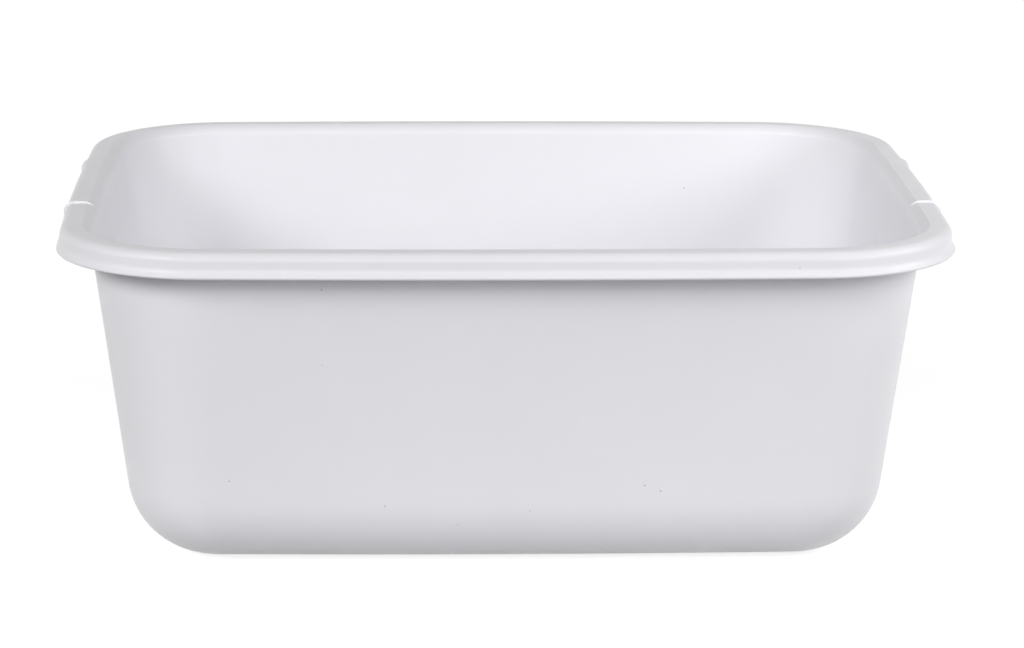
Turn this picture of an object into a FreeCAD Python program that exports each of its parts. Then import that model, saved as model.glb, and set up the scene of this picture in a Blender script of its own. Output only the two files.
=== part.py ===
import FreeCAD, Part
import Sketcher
import math
import os

# Rectangular washing-up bowl, one moulding in white polypropylene, modelled by its zones.
# The frame is in millimetres: +Z up, X along the long side, the front towards -Y, and the
# origin in the middle of the underside, on the surface that the bowl stands on.

# Driving dimensions, in millimetres and degrees.
SIZES = [
    ("lip_width", 391.5, "overall width across the lip"),
    ("lip_depth", 319, "overall depth across the lip"),
    ("bowl_height", 147.5, "table to the top of the rim"),
    ("lip_corner", 66, "corner radius of the lip, seen from above"),
    ("side_radius", 4000, "radius of the gentle bow of each side, at the lip"),
    ("wall_thick", 1.8, "side wall"),
    ("floor_thick", 2.2, "floor of the bowl"),
    ("draft_angle", 7.5, "lean of the walls from upright"),
    ("bottom_radius", 36, "rounded edge between floor and walls, outside"),
    ("pan_corner", 41, "corner radius of the walls where that rounded edge begins"),
    ("foot_land", 9, "width of the flat band that the bowl stands on"),
    ("recess_depth", 0.8, "hollow inside the flat band"),
    ("recess_corner", 14, "corner radius of that hollow"),
    ("gate_radius", 5, "round moulding mark in the middle of that hollow"),
    ("gate_height", 0.4, "how far that mark stands proud"),
    ("rim_overhang", 13.7, "lip to the outside of the wall, at the top"),
    ("rim_thick", 1.8, "rim and skirt"),
    ("rim_inner_radius", 5, "rounding from the inside of the wall to the rim"),
    ("fold_radius", 2.2, "fold from the rim to the skirt, on its inside"),
    ("under_rim_radius", 1.2, "fillet between the wall and the underside of the rim"),
    ("skirt_height", 11, "top of the rim to the bottom of the lip"),
    ("lip_bend", 5.5, "bend radius of the flared lip, at mid thickness"),
    ("lip_angle", 45, "how far the lip turns out from upright"),
    ("grip_span", 101, "distance between the steep faces of the two grip ribs of one end"),
    ("rib_width", 9, "grip rib along the rim, from its steep face to where it fades out"),
    ("rib_height", 1.2, "grip rib above the rim, at its steep face"),
    ("rib_feather", 0.2, "grip rib above the rim, where it fades out"),
    ("rib_drop", 7.3, "top of the rim to the lower end of a grip rib"),
    ("rib_runout", 4, "radius at which a grip rib fades into the skirt"),
    ("rib_round", 0.5, "rounding of the crest of a grip rib"),
]

doc = FreeCAD.newDocument("WashingUpBowl")
sheet = doc.addObject("Spreadsheet::Sheet", "Sizes")
for row, (alias, size, note) in enumerate(SIZES, start=1):
    sheet.set(f"A{row}", note)
    sheet.set(f"B{row}", str(size))
    sheet.setAlias(f"B{row}", alias)
doc.recompute()

# Formulas that several pieces share. An inset is measured inwards from the lip's outline,
# and an x position lies in the upright section through the middle of the right end.
HALF_WIDTH = "Sizes.lip_width / 2"
HALF_DEPTH = "Sizes.lip_depth / 2"
TOP = "Sizes.bowl_height"
DRAFT = "Sizes.draft_angle"
FLOOR = "Sizes.floor_thick"
RIM = "Sizes.rim_thick"
INNER = "Sizes.rim_inner_radius"
OUTER = f"(Sizes.fold_radius + {RIM})"
SKIN = f"(Sizes.wall_thick / cos({DRAFT}))"
RIM_SEAT = f"({TOP} - {INNER})"


def wall_inset(height):
    # Inset of the outside of the leaning wall at a height.
    return f"(Sizes.rim_overhang + ({TOP} - {height}) * tan({DRAFT}))"


def wall_x(height):
    return f"({HALF_WIDTH} - {wall_inset(height)})"


# The rounded bottom edge is limited by the corner that it runs round, so that the floor inside it,
# whose edge strip is as wide as the floor is thick, still has rounded corners.
EDGE_SHARE = f"(tan({DRAFT}) + tan((90 - {DRAFT}) / 2))"
BOTTOM = f"min(Sizes.bottom_radius; (Sizes.pan_corner - 2 * {FLOOR}) / {EDGE_SHARE})"
EDGE_X = f"({wall_x(BOTTOM)} - {BOTTOM} / cos({DRAFT}))"
FLOOR_X = f"({EDGE_X} - {FLOOR})"

# The sides bow about upright axes this far beyond the middle. At the top of the rounded bottom edge,
# each corner's axis is equally far from the axes of the two sides that it joins.
REACH_X = f"(Sizes.side_radius - {HALF_WIDTH})"
REACH_Y = f"(Sizes.side_radius - {HALF_DEPTH})"
APART = f"sqrt({REACH_X} ^ 2 + {REACH_Y} ^ 2)"
SWING = f"(Sizes.side_radius - {wall_inset(BOTTOM)} - Sizes.pan_corner)"
CLIMB = f"sqrt({SWING} ^ 2 - {APART} ^ 2 / 4)"
CORNER_X = f"({CLIMB} * {REACH_Y} / {APART} - {REACH_X} / 2)"
CORNER_Y = f"({CLIMB} * {REACH_X} / {APART} - {REACH_Y} / 2)"
END_SPREAD = f"atan({CORNER_Y} / ({CORNER_X} + {REACH_X}))"
LONG_SPREAD = f"atan({CORNER_X} / ({CORNER_Y} + {REACH_Y}))"

# The skirt hangs upright from the rim, and its lip bends outwards to the lip's outline.
SKIRT_INSET = "(Sizes.lip_bend * (1 - cos(Sizes.lip_angle)))"
SKIRT_X = f"({HALF_WIDTH} - {SKIRT_INSET})"
FOLD_X = f"({SKIRT_X} - {OUTER})"
FOLD_Z = f"({TOP} - {OUTER})"
LIP_CENTRE = (
    f"{SKIRT_X} + Sizes.lip_bend - {RIM} / 2",
    f"{TOP} - Sizes.skirt_height + Sizes.lip_bend * sin(Sizes.lip_angle) + {RIM} / 2",
)


def lip_end(offset):
    # End of the lip's bend, at an offset from mid thickness towards the inside of the rim.
    radius = f"(Sizes.lip_bend + {offset})"
    return (
        f"{LIP_CENTRE[0]} - {radius} * cos(Sizes.lip_angle)",
        f"{LIP_CENTRE[1]} - {radius} * sin(Sizes.lip_angle)",
    )


LIP_OUTSIDE = lip_end(f"-{RIM} / 2")

# The crest rounding of a rib takes at most this share of its steep face.
CREST_SHARE = 0.5

# An edge that strays less than this from a plane lies in it.
IN_PLANE = 0.1

# The rounding inside the rim is tangent to the inside of the wall and to the top of the rim.
INNER_FACE_X = f"({wall_x(RIM_SEAT)} - {SKIN})"
INNER_CENTRE_X = f"({INNER_FACE_X} + {INNER} / cos({DRAFT}))"
INNER_TANGENT = (f"{INNER_CENTRE_X} - {INNER} * cos({DRAFT})", f"{RIM_SEAT} + {INNER} * sin({DRAFT})")


def number(formula):
    return float(sheet.evalExpression(formula))


def new_sketch(body, name, role):
    sketch = body.newObject("Sketcher::SketchObject", name)
    plane = next(feature for feature in body.Origin.OriginFeatures if feature.Role == role)
    sketch.AttachmentSupport = [(plane, "")]
    sketch.MapMode = "FlatFace"
    return sketch


def constrain(sketch, *words):
    return sketch.addConstraint(Sketcher.Constraint(*words))


def bind(sketch, name, formula, *words):
    # A dimension with a name, tied to a formula of the sheet.
    index = constrain(sketch, *words, number(formula))
    sketch.renameConstraint(index, name)
    sketch.setExpression(f"Constraints.{name}", formula)


def add_arc(sketch, centre, radius, start, end):
    circle = Part.Circle(FreeCAD.Vector(*centre, 0), FreeCAD.Vector(0, 0, 1), radius)
    return sketch.addGeometry(Part.ArcOfCircle(circle, start, end), False)


def outline_sketch(body, name, height, inset, corner):
    # A level outline: four gently bowed sides, joined by four tangent corner arcs.
    sketch = new_sketch(body, name, "XY_Plane")
    sketch.setExpression("AttachmentOffset.Base.z", height)
    side_formula = f"(Sizes.side_radius - {inset})"
    side = number(side_formula)
    radius = number(corner)
    reach_x = number(REACH_X)
    reach_y = number(REACH_Y)

    # A corner's centre is equally far from the centres of the two sides that it joins.
    apart = math.hypot(reach_x, reach_y)
    climb = math.sqrt((side - radius) ** 2 - (apart / 2) ** 2)
    corner_x = climb * reach_y / apart - reach_x / 2
    corner_y = climb * reach_x / apart - reach_y / 2
    end_spread = math.atan2(corner_y, corner_x + reach_x)
    long_spread = math.atan2(corner_x, corner_y + reach_y)

    spreads = [end_spread, long_spread, end_spread, long_spread]
    side_centres = [(-reach_x, 0), (0, -reach_y), (reach_x, 0), (0, reach_y)]
    corner_signs = [(1, 1), (-1, 1), (-1, -1), (1, -1)]
    for turn in range(4):
        facing = turn * math.pi / 2
        corner_start = facing + spreads[turn]
        corner_end = facing + math.pi / 2 - spreads[(turn + 1) % 4]
        sign_x, sign_y = corner_signs[turn]
        add_arc(sketch, side_centres[turn], side, facing - spreads[turn], corner_start)
        add_arc(sketch, (sign_x * corner_x, sign_y * corner_y), radius, corner_start, corner_end)

    for arc in range(8):
        constrain(sketch, "Tangent", arc, 2, (arc + 1) % 8, 1)
    bind(sketch, "side", side_formula, "Radius", 0)
    bind(sketch, "corner", corner, "Radius", 1)
    for arc in (2, 4, 6):
        constrain(sketch, "Equal", 0, arc)
        constrain(sketch, "Equal", 1, arc + 1)
    for arc, axis in ((0, -1), (2, -2), (4, -1), (6, -2)):
        constrain(sketch, "PointOnObject", arc, 3, axis)
    bind(sketch, "right", REACH_X, "DistanceX", 0, 3, -1, 1)
    bind(sketch, "left", REACH_X, "DistanceX", -1, 1, 4, 3)
    bind(sketch, "rear", REACH_Y, "DistanceY", 2, 3, -1, 1)
    bind(sketch, "front", REACH_Y, "DistanceY", -1, 1, 6, 3)
    return sketch


def profile_sketch(body, name, steps):
    # A closed profile in the upright plane through X. Each step is a corner and, where an arc leads
    # on from it, the arc's centre and the hand to which it turns. All places are formulas.
    sketch = new_sketch(body, name, "XZ_Plane")
    corners = [FreeCAD.Vector(number(step[0][0]), number(step[0][1]), 0) for step in steps]
    segments = []
    for index, step in enumerate(steps):
        here = corners[index]
        there = corners[(index + 1) % len(steps)]
        if len(step) == 1:
            segments.append((sketch.addGeometry(Part.LineSegment(here, there), False), 1, 2))
            continue
        centre = FreeCAD.Vector(number(step[1][0]), number(step[1][1]), 0)
        first, last = (here, there) if step[2] == "left" else (there, here)
        start = math.atan2(first.y - centre.y, first.x - centre.x)
        end = math.atan2(last.y - centre.y, last.x - centre.x)
        arc = add_arc(sketch, (centre.x, centre.y), here.distanceToPoint(centre), start, end)
        segments.append((arc, 1, 2) if step[2] == "left" else (arc, 2, 1))

    for index, (segment, start, end) in enumerate(segments):
        following, following_start, _ = segments[(index + 1) % len(segments)]
        constrain(sketch, "Coincident", segment, end, following, following_start)
        across, up = steps[index][0]
        bind(sketch, f"across{index}", across, "DistanceX", -1, 1, segment, start)
        bind(sketch, f"up{index}", up, "DistanceY", -1, 1, segment, start)
        if len(steps[index]) > 1:
            bind(sketch, f"centre{index}", steps[index][1][0], "DistanceX", -1, 1, segment, 3)
    return sketch


def sweep(body, name, steps, height, inset, corner):
    # A profile carried once round the outline.
    profile = profile_sketch(body, f"{name}Profile", steps)
    path = outline_sketch(body, f"{name}Path", height, inset, corner)
    feature = body.newObject("PartDesign::AdditivePipe", name)
    feature.Profile = profile
    feature.Spine = path
    return feature


def sweep_rim(body, name, steps):
    return sweep(body, name, steps, TOP, SKIRT_INSET, f"(Sizes.lip_corner - {SKIRT_INSET})")


def make_floor_plate():
    body = doc.addObject("PartDesign::Body", "floor_plate")
    plate_inset = f"({HALF_WIDTH} - {FLOOR_X})"
    plate_corner = f"(Sizes.pan_corner - ({wall_x(BOTTOM)} - {FLOOR_X}))"
    plate = body.newObject("PartDesign::Pad", "Plate")
    plate.Profile = outline_sketch(body, "PlateOutline", "0", plate_inset, plate_corner)
    plate.setExpression("Length", FLOOR)
    doc.recompute()

    recess_inset = f"({HALF_WIDTH} - {EDGE_X} + Sizes.foot_land)"
    recess = body.newObject("PartDesign::Pocket", "Recess")
    recess.Profile = outline_sketch(body, "RecessOutline", "0", recess_inset, "Sizes.recess_corner")
    recess.Reversed = True
    recess.setExpression("Length", "Sizes.recess_depth")
    doc.recompute()

    gate_sketch = new_sketch(body, "GateOutline", "XY_Plane")
    gate_sketch.setExpression("AttachmentOffset.Base.z", "Sizes.recess_depth")
    circle = Part.Circle(FreeCAD.Vector(), FreeCAD.Vector(0, 0, 1), number("Sizes.gate_radius"))
    gate_sketch.addGeometry(circle, False)
    constrain(gate_sketch, "Coincident", 0, 3, -1, 1)
    bind(gate_sketch, "gate", "Sizes.gate_radius", "Radius", 0)
    gate = body.newObject("PartDesign::Pad", "GateMark")
    gate.Profile = gate_sketch
    gate.Reversed = True
    gate.setExpression("Length", "Sizes.gate_height")
    return body


def make_bottom_run(label, shift, spread, base, facing):
    # One run of the rounded bottom edge, turned about its own upright axis. The shift takes the
    # section from the bowl's middle to that axis.
    body = doc.addObject("PartDesign::Body", label)
    inner_radius = f"({BOTTOM} - Sizes.wall_thick)"
    inner_z = f"({FLOOR} + {inner_radius})"
    inner_x = f"({wall_x(inner_z)} - {SKIN} - {inner_radius} / cos({DRAFT}) + {shift})"
    plate_x = f"({FLOOR_X} + {shift})"
    edge_x = f"({EDGE_X} + {shift})"
    outer_x = f"({wall_x(BOTTOM)} + {shift})"
    outer_end = (f"{edge_x} + {BOTTOM} * cos({DRAFT})", f"{BOTTOM} - {BOTTOM} * sin({DRAFT})")
    inner_start = (f"{inner_x} + {inner_radius} * cos({DRAFT})",
                   f"{inner_z} - {inner_radius} * sin({DRAFT})")
    steps = [
        [(plate_x, "0")],
        [(edge_x, "0"), (edge_x, BOTTOM), "left"],
        [outer_end],
        [(outer_x, BOTTOM)],
        [(f"{outer_x} - {SKIN}", BOTTOM)],
        [inner_start, (inner_x, inner_z), "right"],
        [(inner_x, FLOOR)],
        [(plate_x, FLOOR)],
    ]
    profile = profile_sketch(body, f"{label}_profile", steps)
    turned = body.newObject("PartDesign::Revolution", f"{label}_turn")
    turned.Profile = profile
    turned.ReferenceAxis = (profile, ["V_Axis"])
    turned.Midplane = True
    turned.setExpression("Angle", spread)

    body.Placement = FreeCAD.Placement(FreeCAD.Vector(), FreeCAD.Rotation(FreeCAD.Vector(0, 0, 1), 1))
    body.setExpression("Placement.Base.x", base[0])
    body.setExpression("Placement.Base.y", base[1])
    body.setExpression("Placement.Rotation.Angle", facing)
    return body


def make_bottom_edge():
    # Four bowed sides and four corners.
    runs = []
    sides = [
        ("right", END_SPREAD, (f"-{REACH_X}", "0"), "0 deg"),
        ("rear", LONG_SPREAD, ("0", f"-{REACH_Y}"), "90 deg"),
        ("left", END_SPREAD, (REACH_X, "0"), "180 deg"),
        ("front", LONG_SPREAD, ("0", REACH_Y), "270 deg"),
    ]
    for name, spread, base, facing in sides:
        runs.append(make_bottom_run(f"{name}_bottom_edge", REACH_X, f"2 * {spread}", base, facing))
    shift = f"(Sizes.pan_corner - {wall_x(BOTTOM)})"
    spread = f"90 deg - {END_SPREAD} - {LONG_SPREAD}"
    middle = f"(90 deg + {END_SPREAD} - {LONG_SPREAD}) / 2"
    corners = [
        ("right_rear", (CORNER_X, CORNER_Y), middle),
        ("left_rear", (f"-{CORNER_X}", CORNER_Y), f"180 deg - {middle}"),
        ("left_front", (f"-{CORNER_X}", f"-{CORNER_Y}"), f"180 deg + {middle}"),
        ("right_front", (CORNER_X, f"-{CORNER_Y}"), f"360 deg - {middle}"),
    ]
    for name, base, facing in corners:
        runs.append(make_bottom_run(f"{name}_bottom_corner", shift, spread, base, facing))
    return runs


def make_side_wall():
    body = doc.addObject("PartDesign::Body", "side_wall")
    levels = [(BOTTOM, "Sizes.pan_corner"), (RIM_SEAT, f"(Sizes.lip_corner - {wall_inset(RIM_SEAT)})")]
    for kind, skin in (("Additive", "0"), ("Subtractive", SKIN)):
        outlines = []
        for place, (height, corner) in zip(("Foot", "Top"), levels):
            inset = f"({wall_inset(height)} + {skin})"
            outlines.append(outline_sketch(body, f"{kind}{place}", height, inset, f"({corner} - {skin})"))
        wall = body.newObject(f"PartDesign::{kind}Loft", f"{kind}Wall")
        wall.Profile = outlines[0]
        wall.Sections = outlines[1:]
        wall.Ruled = True
        doc.recompute()
    return body


def make_rim_flange():
    body = doc.addObject("PartDesign::Body", "rim_flange")
    under = f"({TOP} - {RIM})"
    fillet = "Sizes.under_rim_radius"
    fillet_z = f"({under} - {fillet})"
    fillet_x = f"({wall_x(fillet_z)} + {fillet} / cos({DRAFT}))"
    steps = [
        [(INNER_FACE_X, RIM_SEAT)],
        [INNER_TANGENT, (INNER_CENTRE_X, RIM_SEAT), "right"],
        [(INNER_CENTRE_X, TOP)],
        [(FOLD_X, TOP), (FOLD_X, FOLD_Z), "right"],
        [(SKIRT_X, FOLD_Z)],
        [(f"{SKIRT_X} - {RIM}", FOLD_Z), (FOLD_X, FOLD_Z), "left"],
        [(FOLD_X, under)],
        [(fillet_x, under), (fillet_x, fillet_z), "left"],
        [(f"{fillet_x} - {fillet} * cos({DRAFT})", f"{fillet_z} + {fillet} * sin({DRAFT})")],
        [(wall_x(RIM_SEAT), RIM_SEAT)],
    ]
    sweep_rim(body, "Flange", steps)
    return body


def make_rim_skirt():
    body = doc.addObject("PartDesign::Body", "rim_skirt")
    steps = [
        [(SKIRT_X, FOLD_Z)],
        [(SKIRT_X, LIP_CENTRE[1]), LIP_CENTRE, "left"],
        [LIP_OUTSIDE, lip_end("0"), "right"],
        [lip_end(f"{RIM} / 2"), LIP_CENTRE, "right"],
        [(f"{SKIRT_X} - {RIM}", LIP_CENTRE[1])],
        [(f"{SKIRT_X} - {RIM}", FOLD_Z)],
    ]
    sweep_rim(body, "Skirt", steps)
    return body


def make_rim_core():
    # The rim with its hollow filled, down past the ribs, which gives each grip rib its seat.
    body = doc.addObject("PartDesign::Body", "RimCore")
    foot = f"{TOP} - Sizes.skirt_height - Sizes.rib_drop - Sizes.rib_runout - Sizes.rib_height"
    steps = [
        [(INNER_FACE_X, foot)],
        [(INNER_FACE_X, RIM_SEAT)],
        [INNER_TANGENT, (INNER_CENTRE_X, RIM_SEAT), "right"],
        [(INNER_CENTRE_X, TOP)],
        [(FOLD_X, TOP), (FOLD_X, FOLD_Z), "right"],
        [(SKIRT_X, FOLD_Z)],
        [(SKIRT_X, LIP_CENTRE[1]), LIP_CENTRE, "left"],
        [LIP_OUTSIDE],
        [(LIP_OUTSIDE[0], foot)],
    ]
    sweep_rim(body, "Core", steps)
    return body


def rib_sketch(body, name, rise):
    # A grip rib of this height from the side: over the inner rounding, the rim and the skirt.
    runout = "Sizes.rib_runout"
    nose = f"(({INNER} + {rise}) / 2)"
    nose_x = f"({INNER_CENTRE_X} - {nose})"
    nose_z = f"({TOP} + {rise} - {nose})"
    crest_x = f"({SKIRT_X} + {rise})"
    fade_x = f"({crest_x} - {runout})"
    fade_z = f"({TOP} - Sizes.rib_drop + sqrt(2 * {rise} * {runout} - {rise} ^ 2))"
    foot = f"({TOP} - Sizes.rib_drop - {runout} - Sizes.rib_height)"
    steps = [
        [(nose_x, foot)],
        [(nose_x, nose_z), (INNER_CENTRE_X, nose_z), "right"],
        [(INNER_CENTRE_X, f"{TOP} + {rise}")],
        [(FOLD_X, f"{TOP} + {rise}"), (FOLD_X, FOLD_Z), "right"],
        [(crest_x, FOLD_Z)],
        [(crest_x, fade_z), (fade_x, fade_z), "right"],
        [(fade_x, f"({fade_z} - {runout})")],
        [(fade_x, foot)],
    ]
    return profile_sketch(body, name, steps)


def make_grip_rib(label, core, end_sign, side_sign):
    # A wedge over the rim: steep where the grip ends, fading towards the middle of the grip. It is
    # made at the middle of the right end and turned to its place about the centre of that end's bow.
    # The rim's core then cuts away what lies below the rim.
    body = doc.addObject("PartDesign::Body", f"{label}_block")
    steep = rib_sketch(body, f"{label}_steep", "Sizes.rib_height")
    faded = rib_sketch(body, f"{label}_faded", "Sizes.rib_feather")
    fading = end_sign * side_sign
    faded.setExpression("AttachmentOffset.Base.z", f"{fading} * Sizes.rib_width")
    sections = [steep, faded] if fading > 0 else [faded, steep]
    wedge = body.newObject("PartDesign::AdditiveLoft", f"{label}_wedge")
    wedge.Profile = sections[0]
    wedge.Sections = sections[1:]
    wedge.Ruled = True
    doc.recompute()

    # The crest is the edge of the steep face, from the nose to where the rib fades out.
    crest = []
    crest_foot = number(f"{TOP} - Sizes.rib_drop")
    for index, edge in enumerate(wedge.Shape.Edges, start=1):
        strays = max(abs(edge.BoundBox.YMin), abs(edge.BoundBox.YMax))
        if strays < IN_PLANE and edge.BoundBox.ZMax > crest_foot:
            crest.append(f"Edge{index}")
    rounding = body.newObject("PartDesign::Fillet", f"{label}_crest")
    rounding.Base = (wedge, crest)
    rounding.setExpression("Radius", f"min(Sizes.rib_round; {CREST_SHARE} * Sizes.rib_height)")

    swing = f"asin(Sizes.grip_span / 2 / (Sizes.side_radius - {SKIRT_INSET}))"
    half_turn = "0 deg" if end_sign > 0 else "180 deg"
    upright = FreeCAD.Rotation(FreeCAD.Vector(0, 0, 1), end_sign)
    body.Placement = FreeCAD.Placement(FreeCAD.Vector(), upright)
    body.setExpression("Placement.Rotation.Angle", f"{half_turn} + {end_sign * side_sign} * {swing}")
    body.setExpression("Placement.Base.x", f"{end_sign} * {REACH_X} * (cos({swing}) - 1)")
    body.setExpression("Placement.Base.y", f"{side_sign} * {REACH_X} * sin({swing})")

    rib = doc.addObject("Part::Cut", label)
    rib.Base = body
    rib.Tool = core
    return rib


pieces = [make_floor_plate(), *make_bottom_edge(), make_side_wall(), make_rim_flange(), make_rim_skirt()]
rim_core = make_rim_core()
for end_name, end_sign in (("left", -1), ("right", 1)):
    for side_name, side_sign in (("front", -1), ("rear", 1)):
        pieces.append(make_grip_rib(f"{end_name}_{side_name}_grip_rib", rim_core, end_sign, side_sign))
doc.recompute()

faults = [item.Name for item in doc.Objects if "Invalid" in item.State or "Error" in item.State]
faults += [piece.Label for piece in pieces if piece.Shape.isNull() or not piece.Shape.isValid()]
if faults:
    raise RuntimeError(f"These did not build: {', '.join(faults)}")
broken = [piece.Label for piece in pieces if len(piece.Shape.Solids) != 1]
if broken:
    raise RuntimeError(f"These are not one solid each: {', '.join(broken)}")

os.makedirs("parts", exist_ok=True)
for piece in pieces:
    piece.Shape.exportStep(f"parts/{piece.Label}.step")
    print(f"{piece.Label}: {piece.Shape.Volume / 1000:.2f} cm3")
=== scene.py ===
import math

import bmesh
import bpy
from mathutils import Matrix, Vector


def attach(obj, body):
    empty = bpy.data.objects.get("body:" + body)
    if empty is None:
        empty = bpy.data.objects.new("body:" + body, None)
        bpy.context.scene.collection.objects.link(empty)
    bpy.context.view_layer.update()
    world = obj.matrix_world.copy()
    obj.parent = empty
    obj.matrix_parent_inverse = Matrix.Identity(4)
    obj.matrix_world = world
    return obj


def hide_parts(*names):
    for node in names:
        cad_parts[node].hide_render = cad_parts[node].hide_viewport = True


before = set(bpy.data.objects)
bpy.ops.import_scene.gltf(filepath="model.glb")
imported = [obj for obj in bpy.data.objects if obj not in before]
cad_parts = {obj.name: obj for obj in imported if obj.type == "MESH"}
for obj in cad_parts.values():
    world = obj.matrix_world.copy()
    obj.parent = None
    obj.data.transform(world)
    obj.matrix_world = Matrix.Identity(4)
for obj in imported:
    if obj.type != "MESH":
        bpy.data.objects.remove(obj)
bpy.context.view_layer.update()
print("frame loaded with", len(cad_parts), "nodes")

mm = 0.001

# the whole bowl, mm and degrees
bowl = {
    "halfWidth": 195.75,
    "halfDepth": 159.5,
    "height": 147.5,
    "sideRadius": 4000.0,  # gentle bow of each side
    "lipCorner": 66.0,
    "overhang": 13.7,  # lip to the outside of the wall, at the top
    "lean": 7.5,
    "wall": 1.8,
    "panCorner": 41.0,  # corner of the walls where the bottom rounding begins
    "bottomRadius": 36.0,
    "endSteps": 10,  # mesh steps in half an end, one corner and half a long side
    "cornerSteps": 30,
    "longSteps": 14,
    "weld": 0.002,  # points closer than this become one
    "sharpAngle": 17.0,  # edges that turn by more stay crisp
}
lean = math.radians(bowl["lean"])
skin = bowl["wall"] / math.cos(lean)  # level thickness of the leaning wall


def wallX(height):
    # outside of the wall in the section through the right end
    return bowl["halfWidth"] - bowl["overhang"] - (bowl["height"] - height) * math.tan(lean)


def arc(centre, radius, start, end, steps, stretch=1.0):
    # points of an arc in the section, start and end included. stretch widens it to part of an ellipse
    x, z = centre
    angles = [math.radians(start + (end - start) * step / steps) for step in range(steps + 1)]
    return [(x + radius * stretch * math.cos(a), z + radius * math.sin(a)) for a in angles]


def addNode(tree, kind, inputs=None, **settings):
    node = tree.nodes.new(kind)
    for name, value in settings.items():
        setattr(node, name, value)
    for key, value in (inputs or {}).items():
        feed(tree, node.inputs[key], value)
    return node


def feed(tree, socket, value):
    if isinstance(value, bpy.types.NodeSocket):
        tree.links.new(value, socket)
    else:
        socket.default_value = value


def mathIn(tree):
    # short way to write sums with Math nodes in one tree
    def calc(operation, *values):
        node = addNode(tree, "ShaderNodeMath", operation=operation)
        for socket, value in zip(node.inputs, values):
            feed(tree, socket, value)
        return node.outputs[0]

    return calc


def remap(tree, value, span, result):
    node = addNode(tree, "ShaderNodeMapRange", {
        "Value": value, "From Min": span[0], "From Max": span[1],
        "To Min": result[0], "To Max": result[1]})
    return node.outputs[0]


def addInputs(tree, kind, names):
    for name in names:
        tree.interface.new_socket(name, in_out="INPUT", socket_type="NodeSocket" + kind)


def closeTree(tree, shape, material):
    # smooth shading, real geometry and the material, then out of the tree
    smooth = addNode(tree, "GeometryNodeSetShadeSmooth", {"Geometry": shape})
    real = addNode(tree, "GeometryNodeRealizeInstances", {"Geometry": smooth.outputs[0]})
    coloured = addNode(tree, "GeometryNodeSetMaterial", {
        "Geometry": real.outputs[0], "Material": material})
    addNode(tree, "NodeGroupOutput", {0: coloured.outputs[0]})


def runNodes(piece, tree, values):
    # sets the named inputs, evaluates the tree once and keeps the result as a plain mesh
    modifier = piece.modifiers.new(tree.name, "NODES")
    modifier.node_group = tree
    for item in tree.interface.items_tree:
        if item.in_out == "INPUT" and item.name in values:
            modifier[item.identifier] = values[item.name]
    depsgraph = bpy.context.evaluated_depsgraph_get()
    made = bpy.data.meshes.new_from_object(piece.evaluated_get(depsgraph), depsgraph=depsgraph)
    name = piece.name
    bpy.data.objects.remove(piece)
    made.name = name
    plain = bpy.data.objects.new(name, made)
    bpy.context.collection.objects.link(plain)
    return plain


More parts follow.
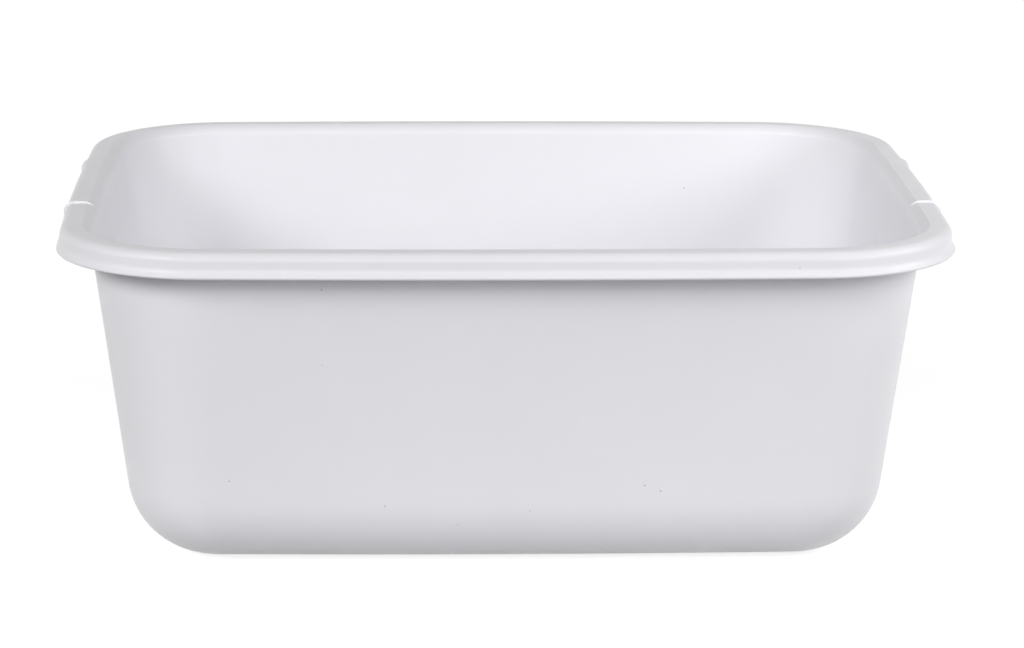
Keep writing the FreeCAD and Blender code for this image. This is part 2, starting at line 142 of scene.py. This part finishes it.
# the rule of the bowl: every level is four bowed sides and four tangent corners.
# the section comes in as points: x is out from the middle, y the corner radius there, z up
def buildRingTree():
    tree = bpy.data.node_groups.new("bowlRing", "GeometryNodeTree")
    addInputs(tree, "Geometry", ["Section"])
    addInputs(tree, "Float", ["Half Width", "Half Depth", "Side Radius"])
    addInputs(tree, "Int", ["End Steps", "Corner Steps", "Long Steps", "Section Points"])
    addInputs(tree, "Bool", ["Closed Section"])
    addInputs(tree, "Material", ["Moulding"])
    tree.interface.new_socket("Ring", in_out="OUTPUT", socket_type="NodeSocketGeometry")
    given = addNode(tree, "NodeGroupInput").outputs
    calc = mathIn(tree)

    def square(value):
        return calc("MULTIPLY", value, value)

    def share(value, whole):
        return calc("MINIMUM", calc("MAXIMUM", calc("DIVIDE", value, whole), 0.0), 1.0)

    def pick(test, yes, no):
        return calc("ADD", calc("MULTIPLY", test, yes), calc("MULTIPLY", calc("SUBTRACT", 1.0, test), no))

    # a grid that wraps round the bowl and, for a closed section, round the section too
    quarter = calc("ADD", calc("ADD", given["End Steps"], given["Corner Steps"]), given["Long Steps"])
    around = calc("MULTIPLY", quarter, 4.0)
    rows = calc("ADD", given["Section Points"], given["Closed Section"])
    grid = addNode(tree, "GeometryNodeMeshGrid", {
        "Vertices X": calc("ADD", around, 1.0), "Vertices Y": rows})
    index = addNode(tree, "GeometryNodeInputIndex").outputs[0]
    column = calc("FLOOR", calc("DIVIDE", calc("ADD", index, 0.5), rows))
    row = calc("MODULO", calc("SUBTRACT", index, calc("MULTIPLY", column, rows)), given["Section Points"])
    place = addNode(tree, "GeometryNodeInputPosition").outputs[0]
    sample = addNode(tree, "GeometryNodeSampleIndex", {
        "Geometry": given["Section"], "Value": place, "Index": row}, data_type="FLOAT_VECTOR")
    section = addNode(tree, "ShaderNodeSeparateXYZ", {0: sample.outputs[0]}).outputs
    corner = section[1]

    # a corner's centre is equally far from the centres of the two sides that it joins
    side = calc("ADD", calc("SUBTRACT", given["Side Radius"], given["Half Width"]), section[0])
    reachX = calc("SUBTRACT", given["Side Radius"], given["Half Width"])
    reachY = calc("SUBTRACT", given["Side Radius"], given["Half Depth"])
    apart = calc("SQRT", calc("ADD", square(reachX), square(reachY)))
    swing = calc("SUBTRACT", side, corner)
    halfApart = calc("MULTIPLY", apart, 0.5)
    climb = calc("SQRT", calc("SUBTRACT", square(swing), square(halfApart)))
    climb = calc("DIVIDE", climb, apart)
    cornerX = calc("SUBTRACT", calc("MULTIPLY", climb, reachY), calc("MULTIPLY", reachX, 0.5))
    cornerY = calc("SUBTRACT", calc("MULTIPLY", climb, reachX), calc("MULTIPLY", reachY, 0.5))
    endSpread = calc("ARCTAN2", cornerY, calc("ADD", cornerX, reachX))
    longSpread = calc("ARCTAN2", cornerX, calc("ADD", cornerY, reachY))
    cornerSpread = calc("SUBTRACT", calc("SUBTRACT", math.pi / 2, endSpread), longSpread)

    # steps are counted from the middle of an end, so every second quarter runs backwards
    step = calc("MODULO", column, around)
    turn = calc("FLOOR", calc("DIVIDE", calc("ADD", step, 0.5), quarter))
    local = calc("SUBTRACT", step, calc("MULTIPLY", turn, quarter))
    fromEnd = pick(calc("MODULO", turn, 2.0), calc("SUBTRACT", quarter, local), local)
    pastEnd = calc("SUBTRACT", fromEnd, given["End Steps"])
    pastCorner = calc("SUBTRACT", pastEnd, given["Corner Steps"])
    facing = calc("MULTIPLY", share(fromEnd, given["End Steps"]), endSpread)
    facing = calc("ADD", facing, calc("MULTIPLY", share(pastEnd, given["Corner Steps"]), cornerSpread))
    facing = calc("ADD", facing, calc("MULTIPLY", share(pastCorner, given["Long Steps"]), longSpread))
    inCorner = calc("GREATER_THAN", pastEnd, 0.0)
    onLong = calc("GREATER_THAN", pastCorner, 0.0)
    centreX = pick(onLong, 0.0, pick(inCorner, cornerX, calc("MULTIPLY", reachX, -1.0)))
    centreY = pick(onLong, calc("MULTIPLY", reachY, -1.0), pick(inCorner, cornerY, 0.0))
    radius = pick(onLong, side, pick(inCorner, corner, side))
    outX = calc("ADD", centreX, calc("MULTIPLY", radius, calc("COSINE", facing)))
    outY = calc("ADD", centreY, calc("MULTIPLY", radius, calc("SINE", facing)))
    onLeft = calc("LESS_THAN", calc("ABSOLUTE", calc("SUBTRACT", turn, 1.5)), 1.0)
    inFront = calc("GREATER_THAN", turn, 1.5)
    placed = addNode(tree, "ShaderNodeCombineXYZ", {
        0: calc("MULTIPLY", outX, pick(onLeft, -1.0, 1.0)),
        1: calc("MULTIPLY", outY, pick(inFront, -1.0, 1.0)),
        2: section[2],
    })

    shaped = addNode(tree, "GeometryNodeSetPosition", {
        "Geometry": grid.outputs[0], "Position": placed.outputs[0]})
    welded = addNode(tree, "GeometryNodeMergeByDistance", {
        "Geometry": shaped.outputs[0], "Distance": bowl["weld"] * mm})
    closeTree(tree, welded.outputs[0], given["Moulding"])
    return tree


def sweepRing(name, section, closed=True):
    # section: (x, z, corner radius) in mm
    mesh = bpy.data.meshes.new(name + "Section")
    mesh.from_pydata([(x * mm, corner * mm, z * mm) for x, z, corner in section], [], [])
    piece = bpy.data.objects.new(name, mesh)
    bpy.context.collection.objects.link(piece)
    values = {
        "Half Width": bowl["halfWidth"] * mm,
        "Half Depth": bowl["halfDepth"] * mm,
        "Side Radius": bowl["sideRadius"] * mm,
        "End Steps": bowl["endSteps"],
        "Corner Steps": bowl["cornerSteps"],
        "Long Steps": bowl["longSteps"],
        "Section Points": len(section),
        "Closed Section": closed,
        "Moulding": whiteMoulding,
    }
    return runNodes(piece, ringTree, values)


def finishPiece(piece, *nodes):
    # faces outwards, crisp only at real edges, then onto its body
    shape = bmesh.new()
    shape.from_mesh(piece.data)
    bmesh.ops.recalc_face_normals(shape, faces=shape.faces)
    openEdges = [edge for edge in shape.edges if not edge.is_manifold]
    shape.to_mesh(piece.data)
    shape.free()
    piece.data.set_sharp_from_angle(angle=math.radians(bowl["sharpAngle"]))
    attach(piece, "root")
    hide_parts(*nodes)
    print(piece.name, "has", len(piece.data.polygons), "faces and", len(openEdges), "open edges")


# white satin polypropylene. a pattern is its scale per metre and its detail
moulding = {
    "colour": (0.868, 0.866, 0.901, 1),
    "shade": (0.839, 0.837, 0.871, 1),  # faint cloudiness
    "speck": (0.42, 0.40, 0.38, 1),
    "roughness": (0.28, 0.38),
    "specular": 0.3,
    "ior": 1.49,
    "cloud": (26.0, 4.0),
    "smear": (60.0, 3.0),  # patches of more and less gloss
    "smearSpan": (0.3, 0.7),
    "speckle": 125.0,  # cells per metre, each with room for a speck
    "speckSize": (0.025, 0.055),  # core and rim of a speck, as shares of a cell
    "speckLuck": (0.95, 0.06),  # share of the cells that hold one, at the foot and higher up
    "speckReach": 0.07,  # metres from the foot
    "grain": (1900.0, 2.0),
    "grainDepth": 0.012 * mm,
    "grainStrength": 0.5,
}


def buildMoulding():
    material = bpy.data.materials.new("whiteMoulding")
    material.use_nodes = True
    tree = material.node_tree
    tree.nodes.clear()
    calc = mathIn(tree)
    where = addNode(tree, "ShaderNodeTexCoord").outputs["Object"]

    def noise(scale, detail):
        made = addNode(tree, "ShaderNodeTexNoise", {"Vector": where, "Scale": scale, "Detail": detail})
        return made.outputs["Fac"]

    def mix(share, first, second):
        made = addNode(tree, "ShaderNodeMix", data_type="RGBA")
        for index, value in ((0, share), (6, first), (7, second)):
            feed(tree, made.inputs[index], value)
        return made.outputs[2]

    tone = mix(noise(*moulding["cloud"]), moulding["colour"], moulding["shade"])

    # tiny specks in the plastic, each in its own cell, most of them near the foot
    cells = addNode(tree, "ShaderNodeTexVoronoi", {"Vector": where, "Scale": moulding["speckle"]}).outputs
    near = remap(tree, cells["Distance"], moulding["speckSize"], (1.0, 0.0))
    luck = addNode(tree, "ShaderNodeSeparateColor", {0: cells["Color"]}).outputs[0]
    height = addNode(tree, "ShaderNodeSeparateXYZ", {0: where}).outputs[2]
    share = remap(tree, height, (0.0, moulding["speckReach"]), moulding["speckLuck"])
    speck = calc("MULTIPLY", near, calc("LESS_THAN", luck, share))
    colour = mix(speck, tone, moulding["speck"])

    gloss = remap(tree, noise(*moulding["smear"]), moulding["smearSpan"], moulding["roughness"])
    bump = addNode(tree, "ShaderNodeBump", {
        "Height": noise(*moulding["grain"]), "Distance": moulding["grainDepth"],
        "Strength": moulding["grainStrength"]})
    surface = addNode(tree, "ShaderNodeBsdfPrincipled", {
        "Base Color": colour, "Roughness": gloss, "Normal": bump.outputs[0],
        "IOR": moulding["ior"], "Specular IOR Level": moulding["specular"]})
    addNode(tree, "ShaderNodeOutputMaterial", {"Surface": surface.outputs[0]})
    return material


whiteMoulding = buildMoulding()
ringTree = buildRingTree()
print("material and ring rule built")

# floor plate: flat inside, and underneath a flat band to stand on round a shallow hollow
floorPlate = {
    "thick": 2.2,
    "land": 9.0,
    "hollow": 0.8,
    "hollowCorner": 14.0,
    "edgeRound": 0.4,
    "roundSteps": 8,
    "flatStrip": 1.5,  # keeps the shading of the flats flat
    "gate": [(5.0, 0.8), (5.0, 0.5), (4.9, 0.42), (4.7, 0.4)],  # radii and heights of the gate mark
}
panX = wallX(bowl["bottomRadius"])
edgeX = panX - bowl["bottomRadius"] / math.cos(lean)
plateX = edgeX - floorPlate["thick"]


def panCornerAt(x):
    return bowl["panCorner"] - (panX - x)


def shrinkLoop(shape, edges, radius, height):
    # carries an open loop in to a circle round the middle
    made = bmesh.ops.extrude_edge_only(shape, edges=edges)["geom"]
    for vert in (item for item in made if isinstance(item, bmesh.types.BMVert)):
        facing = Vector((vert.co.x, vert.co.y)).normalized() * radius * mm
        vert.co = (facing.x, facing.y, height * mm)
    return [item for item in made if isinstance(item, bmesh.types.BMEdge)]


def makeFloorPlate():
    hollowX = edgeX - floorPlate["land"]
    strip = floorPlate["flatStrip"]
    soft = floorPlate["edgeRound"]
    hollowCorner = floorPlate["hollowCorner"]
    section = [
        (hollowX - strip, floorPlate["hollow"], hollowCorner - strip),
        (hollowX, floorPlate["hollow"], hollowCorner),
    ]
    for x, z in arc((hollowX + soft, soft), soft, 180, 270, floorPlate["roundSteps"]):
        section.append((x, z, hollowCorner + x - hollowX))
    section += [
        (hollowX + soft + strip, 0.0, hollowCorner + soft + strip),
        (plateX, 0.0, panCornerAt(plateX)),
        (plateX, floorPlate["thick"], panCornerAt(plateX)),
        (plateX - strip, floorPlate["thick"], panCornerAt(plateX - strip)),
    ]
    piece = sweepRing("floorPlate", section, closed=False)
    shape = bmesh.new()
    shape.from_mesh(piece.data)
    middle = floorPlate["thick"] / 2 * mm
    rims = [edge for edge in shape.edges if edge.is_boundary]
    upper = [edge for edge in rims if edge.verts[0].co.z > middle]
    lower = [edge for edge in rims if edge.verts[0].co.z < middle]
    for radius, height in floorPlate["gate"]:
        lower = shrinkLoop(shape, lower, radius, height)
    bmesh.ops.contextual_create(shape, geom=upper)
    bmesh.ops.contextual_create(shape, geom=lower)
    for face in shape.faces:
        face.smooth = True
    shape.to_mesh(piece.data)
    shape.free()
    finishPiece(piece, "floor_plate")


makeFloorPlate()

# the rounded edge between floor and walls
bottomEdge = {
    "outerSteps": 18,
    "innerSteps": 18,
    "sides": ["right", "rear", "left", "front"],
    "corners": ["right_rear", "left_rear", "left_front", "right_front"],
}


def makeBottomEdge():
    outer = bowl["bottomRadius"]
    inner = outer - bowl["wall"]
    thick = floorPlate["thick"]
    innerX = wallX(thick + inner) - skin - inner / math.cos(lean)
    points = [(plateX, 0.0)]
    points += arc((edgeX, outer), outer, -90, -bowl["lean"], bottomEdge["outerSteps"])
    points += [(panX, outer), (panX - skin, outer)]
    points += arc((innerX, thick + inner), inner, -bowl["lean"], -90, bottomEdge["innerSteps"])
    points += [(plateX, thick)]
    piece = sweepRing("bottomEdge", [(x, z, panCornerAt(x)) for x, z in points])
    runs = [side + "_bottom_edge" for side in bottomEdge["sides"]]
    runs += [corner + "_bottom_corner" for corner in bottomEdge["corners"]]
    finishPiece(piece, *runs)


makeBottomEdge()

# the ring of four walls. its corners open out towards the rim
sideWall = {"rows": 10, "seat": 142.5}


def makeSideWall():
    foot = bowl["bottomRadius"]
    rise = sideWall["seat"] - foot
    topCorner = bowl["lipCorner"] - (bowl["halfWidth"] - wallX(sideWall["seat"]))
    slope = math.tan(lean)  # carries on from the bottom edge without a crease
    bend = (topCorner - bowl["panCorner"] - slope * rise) / rise ** 2
    outside = []
    for row in range(sideWall["rows"] + 1):
        up = rise * row / sideWall["rows"]
        outside.append((wallX(foot + up), foot + up, bowl["panCorner"] + slope * up + bend * up ** 2))
    inside = [(x - skin, z, corner - skin) for x, z, corner in reversed(outside)]
    piece = sweepRing("sideWall", outside + inside)
    finishPiece(piece, "side_wall")


makeSideWall()

# the flat rim, rounded over from the wall and folded down at its outer edge
rimFlange = {
    "thick": 1.8,
    "foldRadius": 4.0,  # outside of the fold
    "crease": 30.0,  # the inner rounding ends this far short of level, at a crisp line
    "innerStretch": 1.715,  # its width against its height
    "underFillet": 1.2,
    "foldTail": 0.4,  # short upright end, so that the skirt goes on smoothly
    "innerSteps": 14,
    "foldSteps": 12,
    "filletSteps": 6,
}
rimSkirt = {"drop": 11.0, "lipBend": 5.5, "lipAngle": 45.0, "bendSteps": 9, "tipSteps": 14}
skirtX = bowl["halfWidth"] - rimSkirt["lipBend"] * (1 - math.cos(math.radians(rimSkirt["lipAngle"])))
foldX = skirtX - rimFlange["foldRadius"]
foldZ = bowl["height"] - rimFlange["foldRadius"]
innerFaceX = wallX(sideWall["seat"]) - skin
innerRadius = (bowl["height"] - sideWall["seat"]) / math.cos(math.radians(rimFlange["crease"]))
# the rounding leaves the leaning wall at this angle
innerLean = math.atan(math.tan(lean) / rimFlange["innerStretch"])
innerCentreX = innerFaceX + innerRadius * (
    rimFlange["innerStretch"] * math.cos(innerLean) + math.sin(innerLean) * math.tan(lean))


def sweepRim(name, points):
    return sweepRing(name, [(x, z, bowl["lipCorner"] - (bowl["halfWidth"] - x)) for x, z in points])


def makeRimFlange():
    top = bowl["height"]
    seat = sideWall["seat"]
    thick = rimFlange["thick"]
    fillet = rimFlange["underFillet"]
    upright = 180 - bowl["lean"]
    leaves = 180 - math.degrees(innerLean)
    tailZ = foldZ - rimFlange["foldTail"]
    filletZ = top - thick - fillet
    filletX = wallX(filletZ) + fillet / math.cos(lean)
    points = [(innerFaceX, seat)]
    points += arc((innerCentreX, seat), innerRadius, leaves, 90 + rimFlange["crease"],
                  rimFlange["innerSteps"], rimFlange["innerStretch"])
    points += arc((foldX, foldZ), rimFlange["foldRadius"], 90, 0, rimFlange["foldSteps"])
    points += [(skirtX, tailZ), (skirtX - thick, tailZ)]
    points += arc((foldX, foldZ), rimFlange["foldRadius"] - thick, 0, 90, rimFlange["filletSteps"])
    points += arc((filletX, filletZ), fillet, 90, upright, rimFlange["filletSteps"])
    points += [(wallX(seat), seat)]
    finishPiece(sweepRim("rimFlange", points), "rim_flange")


def makeRimSkirt():
    thick = rimFlange["thick"]
    half = thick / 2
    bend = rimSkirt["lipBend"]
    turn = math.radians(rimSkirt["lipAngle"])
    tailZ = foldZ - rimFlange["foldTail"]
    centre = (skirtX + bend - half, bowl["height"] - rimSkirt["drop"] + bend * math.sin(turn) + half)
    tip = (centre[0] - bend * math.cos(turn), centre[1] - bend * math.sin(turn))
    swung = 180 + rimSkirt["lipAngle"]
    points = [(skirtX, tailZ)]
    points += arc(centre, bend - half, 180, swung, rimSkirt["bendSteps"])
    points += arc(tip, half, swung - 180, swung - 360, rimSkirt["tipSteps"])[1:-1]
    points += arc(centre, bend + half, swung, 180, rimSkirt["bendSteps"])
    points += [(skirtX - thick, tailZ)]
    finishPiece(sweepRim("rimSkirt", points), "rim_skirt")


makeRimFlange()
makeRimSkirt()

# grip ribs: a wedge over the rim, steep where the grip ends and fading towards the middle of the grip
gripRib = {
    "span": 101.0,  # between the steep faces of the two ribs of an end
    "width": 9.0,  # from the steep face to where it fades out
    "height": 1.1,
    "slant": 0.25,  # steep foot to the crest
    "crestRadius": 0.25,
    "crestSteps": 9,
    "sink": 0.3,  # the wedge's feet lie this far under the rim's surface
    "drop": 7.3,  # top of the rim to the lower end
    "noseAngle": 150.0,  # where it begins on the inner rounding
    "nose": 6.0,  # lengths over which it grows and fades along its own line
    "tail": 3.2,
    "keel": 0.2,  # depth below the feet, as a share of the height
    "leastSwell": 0.02,
    "noseSteps": 12,
    "skirtSteps": 8,
}


def buildRibTree():
    tree = bpy.data.node_groups.new("gripRib", "GeometryNodeTree")
    addInputs(tree, "Geometry", ["Path"])
    addInputs(tree, "Float", ["Crest", "Far Foot", "Height", "Crest Radius", "Nose", "Tail", "Length"])
    addInputs(tree, "Int", ["Crest Steps"])
    addInputs(tree, "Material", ["Moulding"])
    tree.interface.new_socket("Rib", in_out="OUTPUT", socket_type="NodeSocketGeometry")
    given = addNode(tree, "NodeGroupInput").outputs
    calc = mathIn(tree)

    def spot(across, up):
        return addNode(tree, "ShaderNodeCombineXYZ", {0: across, 1: up}).outputs[0]

    # the sweep turns the profile's y down into the rim, so the crest is below zero.
    # full height along the middle, a point at the nose and a quarter ellipse at the tail
    along = addNode(tree, "GeometryNodeSplineParameter").outputs["Length"]
    nose = calc("SQRT", calc("MINIMUM", calc("DIVIDE", along, given["Nose"]), 1.0))
    left = calc("MINIMUM", calc("DIVIDE", calc("SUBTRACT", given["Length"], along), given["Tail"]), 1.0)
    out = calc("SUBTRACT", 1.0, left)
    tail = calc("SQRT", calc("MAXIMUM", calc("SUBTRACT", 1.0, calc("MULTIPLY", out, out)), 0.0))
    swell = calc("MAXIMUM", calc("MINIMUM", nose, tail), gripRib["leastSwell"])
    wedge = addNode(tree, "GeometryNodeCurvePrimitiveQuadrilateral", {
        "Point 1": spot(0.0, 0.0),
        "Point 2": spot(given["Crest"], given["Height"]),
        "Point 3": spot(given["Far Foot"], 0.0),
        "Point 4": spot(given["Crest"], calc("MULTIPLY", given["Height"], -gripRib["keel"])),
    }, mode="POINTS")
    corner = addNode(tree, "GeometryNodeInputIndex").outputs[0]
    atCrest = calc("COMPARE", corner, 1.0, 0.5)
    ridge = addNode(tree, "GeometryNodeFilletCurve", {
        "Curve": wedge.outputs[0], "Count": given["Crest Steps"], "Limit Radius": True,
        "Radius": calc("MULTIPLY", atCrest, given["Crest Radius"]),
    }, mode="POLY")
    swept = addNode(tree, "GeometryNodeCurveToMesh", {
        "Curve": given["Path"], "Profile Curve": ridge.outputs[0], "Scale": swell, "Fill Caps": True})
    closeTree(tree, swept.outputs[0], given["Moulding"])
    return tree


ribTree = buildRibTree()


def makeGripRib(name, node, endSign, sideSign):
    sink = gripRib["sink"]
    fold = rimFlange["foldRadius"] - sink
    section = arc((innerCentreX, sideWall["seat"]), innerRadius - sink, gripRib["noseAngle"],
                  90 + rimFlange["crease"], gripRib["noseSteps"], rimFlange["innerStretch"])
    section += arc((foldX, foldZ), fold, 90, 0, rimFlange["foldSteps"])
    run = (bowl["height"] - gripRib["drop"] - foldZ) / gripRib["skirtSteps"]
    section += [(skirtX - sink, foldZ + run * step) for step in range(1, gripRib["skirtSteps"] + 1)]
    reach = bowl["sideRadius"] - bowl["halfWidth"]
    swing = math.asin(gripRib["span"] / 2 / (skirtX + reach))
    path = []
    for x, z in section:
        out = x + reach
        path.append((endSign * (out * math.cos(swing) - reach), sideSign * out * math.sin(swing), z))
    length = sum(math.dist(a, b) for a, b in zip(path, path[1:]))
    inwards = endSign * sideSign
    deep = gripRib["height"] + sink
    curve = bpy.data.curves.new(name + "Path", "CURVE")
    curve.dimensions = "3D"
    spline = curve.splines.new("POLY")
    spline.points.add(len(path) - 1)
    for point, spot in zip(spline.points, path):
        point.co = (*(value * mm for value in spot), 1)
    piece = bpy.data.objects.new(name, curve)
    bpy.context.collection.objects.link(piece)
    piece = runNodes(piece, ribTree, {
        "Crest": inwards * gripRib["slant"] * mm,
        "Far Foot": inwards * gripRib["width"] * deep / gripRib["height"] * mm,
        "Height": -deep * mm,
        "Crest Radius": gripRib["crestRadius"] * mm,
        "Nose": gripRib["nose"] * mm,
        "Tail": gripRib["tail"] * mm,
        "Length": length * mm,
        "Crest Steps": gripRib["crestSteps"],
        "Moulding": whiteMoulding,
    })
    finishPiece(piece, node)


for endName, endSign in (("left", -1), ("right", 1)):
    for sideName, sideSign in (("Front", -1), ("Rear", 1)):
        node = endName + "_" + sideName.lower() + "_grip_rib"
        makeGripRib(endName + sideName + "GripRib", node, endSign, sideSign)

# camera of the photograph
photoCamera = {
    "focal": 3675.9,  # pixels, in a frame 1024 wide
    "frameWidth": 1024,
    "sensor": 36.0,
    "distance": 1.6962,
    "elevation": 13.345,
    "azimuth": -2.126,
    "roll": 0.365,
    "target": (0.00571, 0.0, 0.08027),
}


def addCamera():
    lens = bpy.data.cameras.new("photoCamera")
    lens.sensor_fit = "HORIZONTAL"
    lens.sensor_width = photoCamera["sensor"]
    lens.lens = photoCamera["focal"] * lens.sensor_width / photoCamera["frameWidth"]
    azimuth = math.radians(photoCamera["azimuth"])
    elevation = math.radians(photoCamera["elevation"])
    roll = math.radians(photoCamera["roll"])
    back = Vector((
        math.sin(azimuth) * math.cos(elevation),
        -math.cos(azimuth) * math.cos(elevation),
        math.sin(elevation),
    ))
    right = (-back).cross(Vector((0, 0, 1))).normalized()
    up = right.cross(-back)
    across = right * math.cos(roll) + up * math.sin(roll)
    upright = up * math.cos(roll) - right * math.sin(roll)
    camera = bpy.data.objects.new("photoCamera", lens)
    turned = Matrix((across, upright, back)).transposed().to_4x4()
    place = Vector(photoCamera["target"]) + back * photoCamera["distance"]
    camera.matrix_world = Matrix.Translation(place) @ turned
    bpy.context.collection.objects.link(camera)
    bpy.context.scene.camera = camera


addCamera()

# soft studio light, a pale floor and a white surround
studio = {
    "ambient": 0.075,
    "floorColour": (0.525, 0.525, 0.525, 1),
    "floorLift": 0.78,  # white that only the camera and reflections see
    "floorSize": 14.0,
    "floorDrop": 0.3,  # mm below the bowl's foot
    "softness": 22.0,  # degrees that each far light fills, as a large softbox does
    "boxSize": 0.5,  # metres across the near softbox
    "middle": (0.0, 0.0, 0.08),  # where it points
    "lights": [
        {"name": "frontLight", "azimuth": 0, "elevation": 22, "strength": 0.52},
        {"name": "leftLight", "azimuth": -40, "elevation": 29, "strength": 1.26},
        {"name": "rightLight", "azimuth": 40, "elevation": 18, "strength": 0.58},
        {"name": "leftSideLight", "azimuth": -70, "elevation": 25, "strength": 0.56},
        {"name": "rightSideBox", "azimuth": 75, "elevation": 25, "strength": 1.06, "distance": 1.0},
    ],
}


def addLight(name, azimuth, elevation, strength, distance=None):
    # azimuth runs from the front to the right. a light with a distance is a round softbox close by
    turn, rise = math.radians(azimuth), math.radians(elevation)
    lamp = bpy.data.lights.new(name, "AREA" if distance else "SUN")
    light = bpy.data.objects.new(name, lamp)
    light.rotation_euler = (math.pi / 2 - rise, 0, turn)
    if distance:
        lamp.shape = "DISK"
        lamp.size = studio["boxSize"]
        lamp.energy = strength * math.pi * distance ** 2
        towards = (math.sin(turn) * math.cos(rise), -math.cos(turn) * math.cos(rise), math.sin(rise))
        light.location = [middle + distance * share for middle, share in zip(studio["middle"], towards)]
    else:
        lamp.energy = strength
        lamp.angle = math.radians(studio["softness"])
    bpy.context.collection.objects.link(light)


def seenDirectly(tree):
    # 1 for rays from the camera and for what gloss and glass show
    path = addNode(tree, "ShaderNodeLightPath").outputs
    calc = mathIn(tree)
    first = calc("MAXIMUM", path["Is Camera Ray"], path["Is Glossy Ray"])
    return calc("MAXIMUM", first, path["Is Transmission Ray"])


def addSurround():
    world = bpy.data.worlds.new("whiteSurround")
    bpy.context.scene.world = world
    world.use_nodes = True
    tree = world.node_tree
    tree.nodes.clear()
    level = remap(tree, seenDirectly(tree), (0.0, 1.0), (studio["ambient"], 1.0))
    sky = addNode(tree, "ShaderNodeBackground", {"Color": (1, 1, 1, 1), "Strength": level})
    addNode(tree, "ShaderNodeOutputWorld", {"Surface": sky.outputs[0]})


def addFloor():
    half = studio["floorSize"] / 2
    mesh = bpy.data.meshes.new("paleFloor")
    below = -studio["floorDrop"] * mm
    corners = [(-half, -half), (half, -half), (half, half), (-half, half)]
    mesh.from_pydata([(x, y, below) for x, y in corners], [], [(0, 1, 2, 3)])
    floor = bpy.data.objects.new("paleFloor", mesh)
    bpy.context.collection.objects.link(floor)
    material = bpy.data.materials.new("paleFloor")
    material.use_nodes = True
    tree = material.node_tree
    tree.nodes.clear()
    matt = addNode(tree, "ShaderNodeBsdfDiffuse", {"Color": studio["floorColour"]})
    lift = mathIn(tree)("MULTIPLY", seenDirectly(tree), studio["floorLift"])
    glow = addNode(tree, "ShaderNodeEmission", {"Color": (1, 1, 1, 1), "Strength": lift})
    both = addNode(tree, "ShaderNodeAddShader", {0: matt.outputs[0], 1: glow.outputs[0]})
    addNode(tree, "ShaderNodeOutputMaterial", {"Surface": both.outputs[0]})
    mesh.materials.append(material)


for light in studio["lights"]:
    addLight(**light)
addSurround()
addFloor()
bpy.context.scene.view_settings.view_transform = "Standard"
print("camera, light and floor placed")
